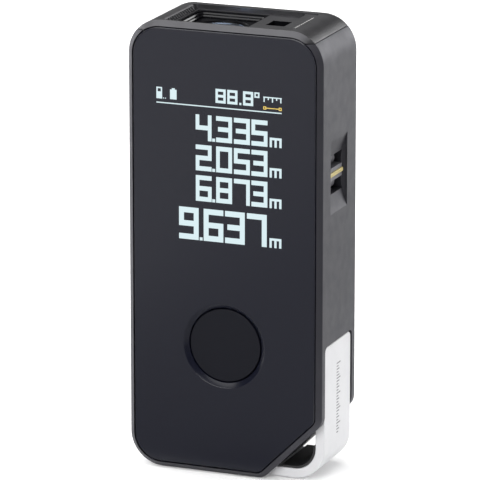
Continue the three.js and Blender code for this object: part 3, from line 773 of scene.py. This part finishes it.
def lever():
    """A bar with a groove for its inlay, two rounded pads, and a hub with a tail that moves the switch."""
    y0, y1 = LEVER[0].y, LEVER[1].y
    crest = LEVER[1].x
    x, z = PIVOT_X, LEVER_Z
    hub_r, pin_r, bar_half = 1.5, 0.66, 1.05
    groove_half, groove_deep = 0.37, 0.55
    tail_y0, tail_y1, tail_half, tip_r = -1.4, 0.9, 0.25, 0.45
    body = rod("y", x, z, hub_r, y0, y1, 48, "lever")
    bound = block(WING["inner"], WING["outer"], y0, WING["rear"], z - WING["half"], z + WING["half"])
    wings = block(WING["inner"], WING["foot"], y0 - 1, y1, z - 3, z + 3, "wings")
    axis = WING["outer"] - WING["pad_r"]
    heights = [z - WING["pad_z"], z + WING["pad_z"]]
    joined(wings, *[rod("y", axis, height, WING["pad_r"], y0 - 1, y1, 64) for height in heights])
    kept_inside(wings, bound)
    tip_x = LEVER[0].x + tip_r
    joined(
        body,
        block(x, crest, y0, y1, z - bar_half, z + bar_half),
        wings,
        block(tip_x, x, tail_y0, tail_y1, z - tail_half, z + tail_half),
        rod("y", tip_x, z, tip_r, tail_y0, tail_y1, 32),
    )
    cut(
        body,
        rod("y", x, z, pin_r, -FAR, FAR, 32),
        block(crest - groove_deep, crest + 1, -FAR, FAR, z - groove_half, z + groove_half),
    )
    soften(body, 0.1, 3)
    return smooth(body)


def lever_accent():
    """The lever's inlay, with fine grooves across it."""
    low, high = ACCENT
    pitch, groove, deep = 0.55, 0.2, 0.1
    inlay = block(low.x, high.x, low.y, high.y, low.z, high.z, "inlay")
    soften(inlay, 0.14, 4)
    count = int((high.y - low.y - 2 * groove) / pitch)
    first = (low.y + high.y) / 2 - pitch * (count - 1) / 2
    for i in range(count):
        y = first + i * pitch
        cut(inlay, block(high.x - deep, high.x + 1, y - groove / 2, y + groove / 2, low.z - 1, high.z + 1))
    return smooth(inlay)


# ---------- Wrist strap loop ----------

def bent_strip(inset, thick, top, left, half_wide, name):
    """A strip that runs down the right side and round the cut corner to the base."""
    outer, inner = HALF_W - inset, HALF_W - inset - thick
    bend = STRAP_BEND - (inset - STRAP_OUT)
    outline = rounded(
        [
            (left, inset, 0),
            (outer, inset, bend),
            (outer, top, 0),
            (inner, top, 0),
            (inner, inset + thick, bend - thick),
            (left, inset + thick, 0),
        ],
        24,
    )
    return prism("y", outline, -half_wide, half_wide, name)


def strap():
    wide, top, left = STRAP[1].y, STRAP[1].z, STRAP[0].x
    corner = 0.9
    band = bent_strip(STRAP_OUT, STRAP_THICK, top, left, wide, "strap")
    kept_inside(
        band,
        prism("x", rounded_rect(-wide, wide, -FAR, top, corner, 12), -FAR, FAR),
        prism("z", rounded_rect(left, FAR, -wide, wide, corner, 12), -FAR, FAR),
    )
    soften(band, 0.16, 4)
    return smooth(band, 40)


def liner():
    inset, thick = HALF_W - LINER[1].x, 0.35
    lining = bent_strip(inset, thick, LINER[1].z, LINER[0].x, LINER[1].y, "liner")
    soften(lining, 0.05, 2)
    return smooth(lining)


# ---------- Display figures and printed marks ----------

def stencil(rects, y0, y1, name):
    """One flat solid covering a set of rectangles (x0, x1, z0, z1), joined where they touch."""
    xs = sorted({round(v, 4) for r in rects for v in r[:2]})
    zs = sorted({round(v, 4) for r in rects for v in r[2:]})

    def covered(i, k):
        if not (0 <= i < len(xs) - 1 and 0 <= k < len(zs) - 1):
            return False
        x, z = (xs[i] + xs[i + 1]) / 2, (zs[k] + zs[k + 1]) / 2
        return any(r[0] < x < r[1] and r[2] < z < r[3] for r in rects)

    points, index, faces = [], {}, []

    def corner(i, k, y):
        key = (i, k, y)
        if key not in index:
            index[key] = len(points)
            points.append((xs[i], y, zs[k]))
        return index[key]

    # Each neighbour's step, with the two corners of the side that it shares.
    around = [
        ((0, -1), (0, 0), (1, 0)),
        ((1, 0), (1, 0), (1, 1)),
        ((0, 1), (1, 1), (0, 1)),
        ((-1, 0), (0, 1), (0, 0)),
    ]
    for i in range(len(xs) - 1):
        for k in range(len(zs) - 1):
            if not covered(i, k):
                continue
            square = [(i, k), (i + 1, k), (i + 1, k + 1), (i, k + 1)]
            faces.append([corner(a, b, y0) for a, b in square])
            faces.append([corner(a, b, y1) for a, b in reversed(square)])
            for (di, dk), (a, b), (c, d) in around:
                if not covered(i + di, k + dk):
                    start, end = (i + a, k + b), (i + c, k + d)
                    faces.append([corner(*start, y1), corner(*end, y1), corner(*end, y0), corner(*start, y0)])
    return mesh_object(name, points, faces)


def figure_bars(x, z, wide, tall, stroke, upright):
    """Named bars of one squared figure standing at (x, z); its uprights have a width of their own."""
    half = (tall - stroke) / 2
    right, top, middle = x + wide - upright, z + tall - stroke, z + half
    return {
        "top": (x, x + wide, top, z + tall),
        "middle": (x, x + wide, middle, middle + stroke),
        "short_middle": (x + 0.12 * wide, x + wide, middle, middle + stroke),
        "bottom": (x, x + wide, z, z + stroke),
        "upper_left": (x, x + upright, middle, z + tall),
        "lower_left": (x, x + upright, z, middle + stroke),
        "upper_right": (right, x + wide, middle, z + tall),
        "lower_right": (right, x + wide, z, middle + stroke),
    }


# The bars that each figure lights.
FIGURES = {
    "0": "top bottom upper_left lower_left upper_right lower_right",
    "2": "top upper_right middle lower_left bottom",
    "3": "top short_middle bottom upper_right lower_right",
    "4": "upper_left middle upper_right lower_right",
    "5": "top upper_left middle lower_right bottom",
    "6": "top upper_left lower_left middle lower_right bottom",
    "7": "top upper_right lower_right",
    "8": "top middle bottom upper_left lower_left upper_right lower_right",
    "9": "top upper_left middle upper_right lower_right bottom",
}


def figure(char, x, z, wide, tall, stroke, upright):
    bars = figure_bars(x, z, wide, tall, stroke, upright)
    return [bars[name] for name in FIGURES[char].split()]


def metre_sign(x, z, wide, tall, stroke):
    """The unit's letter: three legs under one bar."""
    middle = x + (wide - stroke) / 2
    return [
        (x, x + wide, z + tall - stroke, z + tall),
        (x, x + stroke, z, z + tall),
        (middle, middle + stroke, z, z + tall),
        (x + wide - stroke, x + wide, z, z + tall),
    ]


# Figure sizes are (width, height, stroke, width of the uprights). Dots are (x, side).
SMALL = {"size": (2.7, 4.2, 0.74, 0.62), "starts": (-4.76, -1.28, 1.74, 4.71), "dot": (-1.95, 0.5)}
LARGE = {"size": (3.36, 5.25, 0.9, 0.84), "starts": (-7.65, -3.43, 0.22, 3.95), "dot": (-4.12, 0.5)}
ROWS = [("4335", 54.87, SMALL), ("2053", 49.97, SMALL), ("6873", 45.0, SMALL), ("9637", 38.56, LARGE)]
UNIT_X = 7.78
UNIT_SIZE = (2.01, 1.55, 0.38)
RULE = (-11.45, 9.79, 60.36, 60.54)
TILT_Z = 61.2
TILT = {"size": (1.72, 2.28, 0.42, 0.4), "starts": (-1.37, 0.62, 3.28), "dot": (2.66, 0.34, 0.36)}
DEGREE = (5.2, 6.05, 1.4, 2.28)  # x from and to, then the height above the tilt's baseline from and to
ICON_STROKE = 0.24


def readout():
    """Four measured lengths, the tilt above them, and the row of signs for state."""
    rects = []
    for text, z, style in ROWS:
        for char, x in zip(text, style["starts"]):
            rects += figure(char, x, z, *style["size"])
        dot_x, dot = style["dot"]
        rects.append((dot_x, dot_x + dot, z, z + dot))
        rects += metre_sign(UNIT_X, z, *UNIT_SIZE)
    rects.append(RULE)
    for x in TILT["starts"]:
        rects += figure("8", x, TILT_Z, *TILT["size"])
    dot_x, dot_wide, dot_tall = TILT["dot"]
    rects.append((dot_x, dot_x + dot_wide, TILT_Z, TILT_Z + dot_tall))
    rects += frame_rects(DEGREE[0], DEGREE[1], TILT_Z + DEGREE[2], TILT_Z + DEGREE[3], ICON_STROKE)
    rects += status_icons(TILT_Z)
    return shown_figures(rects, "readout")


def frame_rects(x0, x1, z0, z1, stroke):
    return [
        (x0, x1, z1 - stroke, z1),
        (x0, x1, z0, z0 + stroke),
        (x0, x0 + stroke, z0, z1),
        (x1 - stroke, x1, z0, z1),
    ]


def status_icons(z):
    """The instrument's own sign, the battery and a small rule."""
    left, wide, dot, pitch = RULE[0], 0.98, 0.16, 0.34
    rects = frame_rects(left, left + wide, z + 0.8, z + 1.75, 0.22)
    rects += [(left, left + wide, z - 0.12, z + 0.9)]
    for i in range(2):
        x = left + 1.14 + pitch * i
        rects.append((x, x + dot, z - dot / 2, z + dot / 2))
    battery = {"x0": -9.12, "x1": -8.0, "foot": z - 0.08, "top": z + 1.5}
    cap_inset, cap_tall = 0.3, 0.22
    rects.append((battery["x0"], battery["x1"], battery["foot"], battery["top"]))
    rects.append((battery["x0"] + cap_inset, battery["x1"] - cap_inset, z + 1.4, battery["top"] + cap_tall))
    right, top, length, tick_pitch = RULE[1], z + 1.72, 3.1, 0.7
    rects.append((right - length, right, top - 0.18, top))
    for i in range(5):
        x = right - length + 0.05 + tick_pitch * i
        tick = 0.85 if i % 2 == 0 else 0.5
        rects.append((x, x + 0.2, top - tick, top - 0.1))
    return rects


def link_icon():
    """Two small squares joined by a line, under the rule sign."""
    right, z, size, length, stroke = RULE[1], TILT_Z - 0.35, 0.5, 3.1, 0.14
    rects = frame_rects(right - length, right - length + size, z, z + size, stroke)
    rects += frame_rects(right - size, right, z, z + size, stroke)
    line_z = z + (size - stroke) / 2
    rects.append((right - length + 0.4, right - 0.4, line_z, line_z + stroke))
    return shown_figures(rects, "link")


def shown_figures(rects, name):
    proud, sunk = 0.015, 0.03
    face = FRONT + PANEL_RELIEF
    made = stencil(rects, face - proud, face + sunk, name)
    made.data.shade_flat()
    return made


def strap_marks():
    """A plain millimetre rule printed along the strap's outer face."""
    count, first_z, pitch, start_y, thick = 24, 6.7, 0.5, -0.45, 0.2
    x = STRAP[1].x
    points, faces = [], []
    for i in range(count):
        z = first_z + pitch * i
        length = 1.7 if i % 5 == 3 else 1.2 if i % 2 else 0.8
        add_tile(points, faces, (x - 0.01, start_y, z), (x + 0.012, start_y + length, z + thick))
    return mesh_object("rule", points, faces)


def cap_marks():
    """A row of fine ticks on the shelf of the top cap."""
    count, first_y, pitch, thick, end_x = 22, -4.5, 0.38, 0.16, 10.75
    points, faces = [], []
    for i in range(count):
        y = first_y + pitch * i
        length = 0.25 if i % 2 else 0.35
        add_tile(points, faces, (end_x - length, y, SHELF_Z - 0.02), (end_x, y + thick, SHELF_Z + 0.012))
    return mesh_object("ticks", points, faces)


def add_tile(points, faces, low, high):
    """Adds one small box to the lists of a mesh."""
    base = len(points)
    for z in (low[2], high[2]):
        points += [(low[0], low[1], z), (high[0], low[1], z), (high[0], high[1], z), (low[0], high[1], z)]
    sides = [(0, 3, 2, 1), (4, 5, 6, 7), (0, 1, 5, 4), (1, 2, 6, 5), (2, 3, 7, 6), (3, 0, 4, 7)]
    faces += [tuple(base + k for k in side) for side in sides]


# ---------- Pieces ----------

# Maker, name, look, body, slot of the record, and the CAD nodes that it stands for.
PIECES = [
    (housing, "housing_shell", "housing", "case", "housing", ["main_housing"]),
    (front_panel, "display_panel", "panel", "case", "panel", ["front_panel"]),
    (panel_rim, "display_panel_rim", "rim", "case", "panel", []),
    (rear_cover, "rear_cover_shell", "housing", "case", "housing", ["rear_cover"]),
    (top_cap, "top_cap_shell", "cap", "case", "cap", ["top_cap"]),
    # The ribs' dark look is painted shade for the dimly reflecting slope.
    (cap_ribs, "top_cap_ribs", "ribs", "case", "cap", []),
    (receiver_lens, "collecting_lens", "lens_glass", "case", "lens_glass", ["receiver_lens"]),
    (lens_retainer, "lens_ring", "bracket", "case", "black_plastic", ["lens_retainer"]),
    (optics_bracket, "optics_block", "bracket", "case", "bracket", ["optics_bracket"]),
    (window_steps, "window_lining", "lining", "case", "bracket", []),
    # The aperture tube is painted shade: a dark tube that darkens the inside of the laser's aperture.
    (painted_shade_aperture_tube, "aperture_painted_shade_tube", "bracket", "case", "bracket", []),
    (measure_button, "button_cap", "button", "button", "button", ["measure_button"]),
    (lever, "mode_lever", "lever", "lever", "housing", ["side_lever"]),
    (lever_accent, "lever_inlay", "accent", "lever", "accent", ["lever_accent"]),
    (strap, "strap_band", "strap_metal", "case", "strap_metal", ["wrist_strap_loop"]),
    (liner, "strap_lining", "liner", "case", "black_plastic", ["loop_liner"]),
    (readout, "display_readout", "figures", "case", "display_glass", []),
    (link_icon, "display_link_icon", "figures_yellow", "case", "accent", []),
    (strap_marks, "strap_rule_marks", "ink_dark", "case", "strap_metal", []),
    (cap_marks, "cap_tick_marks", "ink_pale", "case", "cap", []),
]

for maker, name, look, body, slot, nodes in PIECES:
    finished(maker(), name, LOOKS[look], body, nodes)

# CAD nodes that stay take the look of their slot and a small edge radius.
EDGE_RADIUS = 0.05
for row in frame["record"]["subparts"]:
    node = frame["nodes"][row["node"]]
    if node.hide_render:
        continue
    node.data.materials.clear()
    node.data.materials.append(LOOKS[row["material_slot"]])
    step = node.modifiers.new("edge", "BEVEL")
    step.width = EDGE_RADIUS * MM
    step.segments = 2
    step.limit_method = "ANGLE"
    step.angle_limit = math.radians(40)


# ---------- Floor, light and camera ----------

CENTRE = (0, 0, 0.04)
FLOOR = {"half": 3.0, "z": -0.0001}


def studio_floor():
    half, z = FLOOR["half"], FLOOR["z"]
    corners = [(-half, -half, z), (half, -half, z), (half, half, z), (-half, half, z)]
    floor = mesh_object("studio_floor", corners, [(0, 1, 2, 3)])
    look = Look("floor_white", (0.86, 0.86, 0.86), 0.8, 0.0, 0.2).mottle(200, 0.01).glow((1, 1, 1), 0.12)
    floor.data.materials.append(look.material)


def softbox(name, place, size, power):
    """A soft light that faces the part and that the camera doesn't see."""
    light = bpy.data.lights.new(name, "AREA")
    light.shape = "RECTANGLE"
    light.size, light.size_y = size
    light.energy = power
    lamp = bpy.data.objects.new(name, light)
    bpy.context.scene.collection.objects.link(lamp)
    lamp.location = place
    aim = Vector(CENTRE) - Vector(place)
    lamp.rotation_euler = aim.to_track_quat("-Z", "Y").to_euler()
    lamp.visible_camera = False
    return lamp


def card(name, near, far, shade):
    """A grey card lying on the floor, seen only in reflections."""
    plan = [(near[0], near[1]), (far[0], near[1]), (far[0], far[1]), (near[0], far[1])]
    made = mesh_object(name, [(x, y, 0.0005) for x, y in plan], [(0, 1, 2, 3)])
    made.data.materials.append(Look(name, (shade, shade, shade), 0.9, 0.0, 0.0).mottle(200, 0.02).material)
    made.visible_camera = False
    made.visible_diffuse = False
    made.visible_shadow = False
    made.visible_transmission = False


def studio_world(color, strength):
    world = bpy.data.worlds.new("studio_world")
    world.use_nodes = True
    background = world.node_tree.nodes["Background"]
    background.inputs["Color"].default_value = (*color, 1)
    background.inputs["Strength"].default_value = strength
    bpy.context.scene.world = world


def camera():
    azimuth, elevation = math.radians(21.87), math.radians(15.06)
    distance, lens, sensor = 0.72007, 337.5, 36.0
    target = Vector((-0.427, -0.118, 36.98)) * MM
    back = Vector((
        math.sin(azimuth) * math.cos(elevation),
        -math.cos(azimuth) * math.cos(elevation),
        math.sin(elevation),
    ))
    data = bpy.data.cameras.new("camera")
    data.lens = lens
    data.sensor_width = sensor
    data.clip_start, data.clip_end = 0.05, 20
    made = bpy.data.objects.new("camera", data)
    bpy.context.scene.collection.objects.link(made)
    made.location = target + back * distance
    made.rotation_euler = (-back).to_track_quat("-Z", "Y").to_euler()
    bpy.context.scene.camera = made


studio_floor()
camera()
softbox("left_box", (-0.65, 0.25, 0.3), (0.5, 0.6), 4.5)
softbox("front_box", (-0.1, -0.86, 0.54), (0.8, 0.3), 7)
softbox("right_box", (0.52, 0.78, 0.27), (0.9, 0.45), 5.5)
softbox("top_box", (-0.15, 0.0, 0.8), (1.0, 1.0), 9)
fill_box = softbox("fill_box", (0.8, -0.35, 0.3), (0.4, 0.4), 1.6)
fill_box.visible_glossy = False
lens_box = softbox("lens_box", (-0.24, 0.62, 0.6), (0.3, 0.1), 0.35)
lens_box.visible_diffuse = False
card("floor_card", (-0.055, -0.8), (0.06, -0.012), 0.48)
card("side_card", (0.06, -0.8), (0.6, 0.0), 0.1)
card("rear_card", (0.045, 0.03), (0.18, 0.16), 0.42)
studio_world((1, 1, 1), 0.14)
bpy.context.scene.view_settings.view_transform = "Standard"
